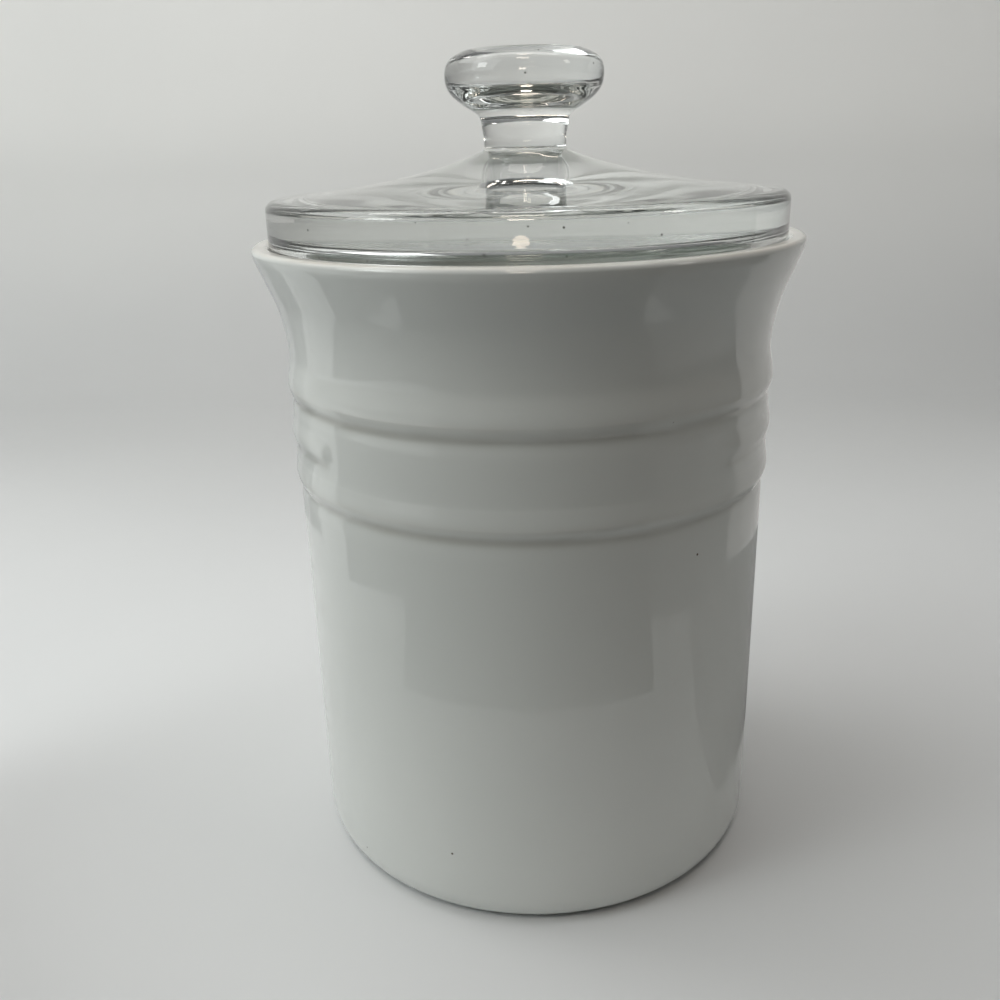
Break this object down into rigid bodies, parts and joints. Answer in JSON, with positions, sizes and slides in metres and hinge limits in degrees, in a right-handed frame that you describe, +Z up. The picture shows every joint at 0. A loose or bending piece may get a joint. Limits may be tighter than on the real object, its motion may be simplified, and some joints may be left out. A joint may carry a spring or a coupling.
{
  "type": "lidded stoneware canister",
  "caption": "Straight-sided glazed stoneware canister with a flared rolled lip, a stepped band with a plain front panel, and a lift-off clear glass lid with a knob and a soft seal ring.",
  "frame": {"origin": "middle of the foot ring, on the plane that the canister stands on", "axes": "+Z up along the jar's axis, -Y the front, where the band has its plain panel, +X to the right seen from the front"},
  "size_m": [0.1308, 0.1308, 0.1971],
  "materials": {
    "stoneware": "glossy pale grey-white glaze over stoneware, thinner and warmer on the lip and step edges, bare clay on the foot ring",
    "lid_glass": "clear pressed glass, polished",
    "seal": "translucent soft silicone, satin"
  },
  "bodies": {
    "jar_body": {"jar": "stoneware"},
    "lid_body": {"glass_lid": "lid_glass", "seal_ring": "seal"}
  },
  "joints": [
    {"name": "lid_lift", "type": "slide", "parent": "jar_body", "child": "lid_body", "axis": [0, 0, 1], "range_m": [0, 0.08]}
  ]
}
